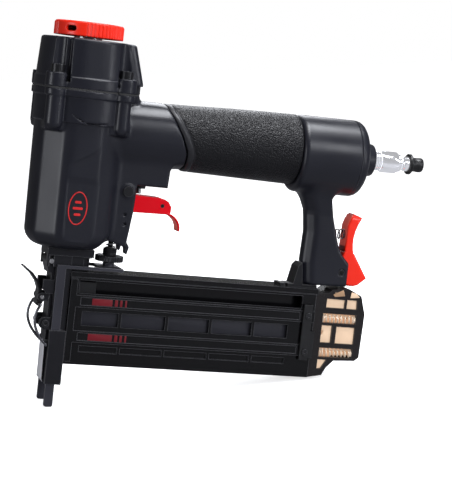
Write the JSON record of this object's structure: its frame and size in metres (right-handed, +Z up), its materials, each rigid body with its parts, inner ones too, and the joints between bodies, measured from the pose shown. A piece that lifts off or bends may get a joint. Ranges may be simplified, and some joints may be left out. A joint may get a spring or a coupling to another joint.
{
  "type": "pneumatic brad nailer",
  "caption": "Compressed-air brad nailer and stapler with a long pull-back magazine, depth wheel, red trigger, and latched front door.",
  "frame": {"origin": "on the driver axis, level with the tip of the contact foot at rest", "axes": "+Z up the driver axis to the exhaust cap, +X back along the handle to the air plug, +Y to the tool's far side"},
  "size_m": [0.2722, 0.0634, 0.247],
  "materials": {
    "body_black": "die-cast, painted satin black",
    "gasket": "matte fibre",
    "steel": "zinc plated",
    "seal_black": "smooth rubber",
    "grip_rubber": "pebbled soft rubber",
    "chrome": "polished",
    "plastic_black": "moulded",
    "red_plastic": "moulded, semi-gloss",
    "piston_alloy": "turned",
    "valve_plastic": "moulded acetal",
    "trigger_red": "gloss red coating",
    "black_steel": "black oxide",
    "nose_black": "black phosphate",
    "nose_grey": "satin steel",
    "magazine_black": "gloss black anodised",
    "cap_frame_black": "moulded",
    "amber_clear": "smoky amber transparent plastic"
  },
  "bodies": {
    "frame": {"main_body": "body_black", "head_cap": "body_black", "head_gasket": "gasket", "head_screws": "black_steel", "cylinder_sleeve": "steel", "sleeve_seal_rings": "seal_black", "bumper": "seal_black", "grip_sleeve": "grip_rubber", "end_cap": "body_black", "end_cap_oring": "seal_black", "air_plug": "chrome", "valve_bush": "plastic_black", "valve_spring": "steel", "exhaust_screw": "steel", "head_valve_spring": "steel", "trigger_pin": "black_steel", "safety_spring": "steel", "nose_body": "nose_black", "nose_screws": "black_steel", "door_pin": "steel", "magazine_rail": "magazine_black", "rail_screws": "steel", "gusset_bracket": "black_steel", "lever_pin": "black_steel", "lever_spring": "steel"},
    "exhaust_deflector": {"exhaust_cap": "red_plastic"},
    "head_valve_body": {"head_valve": "valve_plastic"},
    "piston_assembly": {"piston": "piston_alloy", "piston_oring": "seal_black", "driver_blade": "steel"},
    "trigger_body": {"trigger": "trigger_red", "yoke_pin": "black_steel"},
    "yoke_body": {"trigger_yoke": "black_steel"},
    "stem_body": {"valve_stem": "steel"},
    "safety_body": {"safety_link": "black_steel"},
    "wheel_body": {"depth_wheel": "black_steel"},
    "foot_body": {"contact_foot": "black_steel"},
    "door_body": {"front_door": "nose_grey", "latch_pin": "steel"},
    "latch_body": {"latch_lever": "black_steel"},
    "bail_body": {"wire_bail": "steel"},
    "magazine_body": {"magazine_cover": "magazine_black", "side_block": "plastic_black", "cover_screws": "black_steel", "rear_cap_frame": "cap_frame_black", "rear_cap_clear": "amber_clear", "buffer_springs": "steel", "pusher_rod": "steel", "pusher_spring": "steel"},
    "pusher_body": {"nail_pusher": "plastic_black"},
    "release_body": {"release_lever": "red_plastic"},
    "dust_cap_body": {"dust_cap": "plastic_black"}
  },
  "joints": [
    {"name": "exhaust_cap_turn", "type": "hinge", "parent": "frame", "child": "exhaust_deflector", "pos_m": [0, 0, 0.24], "axis": [0, 0, 1], "continuous": true},
    {"name": "head_valve_lift", "type": "slide", "parent": "frame", "child": "head_valve_body", "axis": [0, 0, 1], "range_m": [0, 0.003], "deforming": ["head_valve_spring"]},
    {"name": "piston_stroke", "type": "slide", "parent": "frame", "child": "piston_assembly", "axis": [0, 0, -1], "range_m": [0, 0.0724], "stiffness_N_per_m": 150, "springref_m": -0.02},
    {"name": "trigger_pull", "type": "hinge", "parent": "frame", "child": "trigger_body", "pos_m": [0.033, 0, 0.1429], "axis": [0, -1, 0], "range_deg": [0, 9]},
    {"name": "yoke_swing", "type": "hinge", "parent": "trigger_body", "child": "yoke_body", "pos_m": [0.059, 0, 0.1348], "axis": [0, 1, 0], "range_deg": [0, 4.01]},
    {"name": "valve_stem_lift", "type": "slide", "parent": "frame", "child": "stem_body", "axis": [0, 0, 1], "range_m": [0, 0.0017], "deforming": ["valve_spring"]},
    {"name": "safety_lift", "type": "slide", "parent": "frame", "child": "safety_body", "axis": [0, 0, 1], "range_m": [0, 0.0046], "stiffness_N_per_m": 2200, "springref_m": -0.006, "deforming": ["safety_spring"]},
    {"name": "depth_wheel_turn", "type": "hinge", "parent": "safety_body", "child": "wheel_body", "pos_m": [0.0286, 0, 0.0975], "axis": [0, 0, 1], "range_deg": [-360, 360]},
    {"name": "foot_adjust", "type": "slide", "parent": "safety_body", "child": "foot_body", "axis": [0, 0, 1], "range_m": [-0.00101, 0.00101]},
    {"name": "door_open", "type": "hinge", "parent": "frame", "child": "door_body", "pos_m": [-0.011, 0, 0.094], "axis": [0, 1, 0], "range_deg": [0, 45]},
    {"name": "latch_turn", "type": "hinge", "parent": "door_body", "child": "latch_body", "pos_m": [-0.0142, 0, 0.07], "axis": [0, 1, 0], "range_deg": [-48, 0]},
    {"name": "bail_swing", "type": "hinge", "parent": "latch_body", "child": "bail_body", "pos_m": [-0.0157, 0, 0.0657], "axis": [0, 1, 0], "range_deg": [0, 80.2]},
    {"name": "magazine_slide", "type": "slide", "parent": "frame", "child": "magazine_body", "axis": [1, 0, 0], "range_m": [0, 0.1]},
    {"name": "pusher_travel", "type": "slide", "parent": "magazine_body", "child": "pusher_body", "axis": [1, 0, 0], "range_m": [0, 0.095], "deforming": ["pusher_spring"]},
    {"name": "release_press", "type": "hinge", "parent": "frame", "child": "release_body", "pos_m": [0.1879, 0, 0.1008], "axis": [0, -1, 0], "range_deg": [0, 10], "deforming": ["lever_spring"]},
    {"name": "dust_cap_pull", "type": "slide", "parent": "frame", "child": "dust_cap_body", "axis": [1, 0, 0], "range_m": [0, 0.06]}
  ],
  "couplings": [
    {"joint": "yoke_swing", "follows": "safety_lift", "rad_per_m": 15.177},
    {"joint": "valve_stem_lift", "follows": "trigger_pull", "m_per_rad": 0.010186},
    {"joint": "foot_adjust", "follows": "depth_wheel_turn", "m_per_rad": 0.00015915},
    {"joint": "bail_swing", "follows": "latch_turn", "ratio": -1.6667}
  ]
}
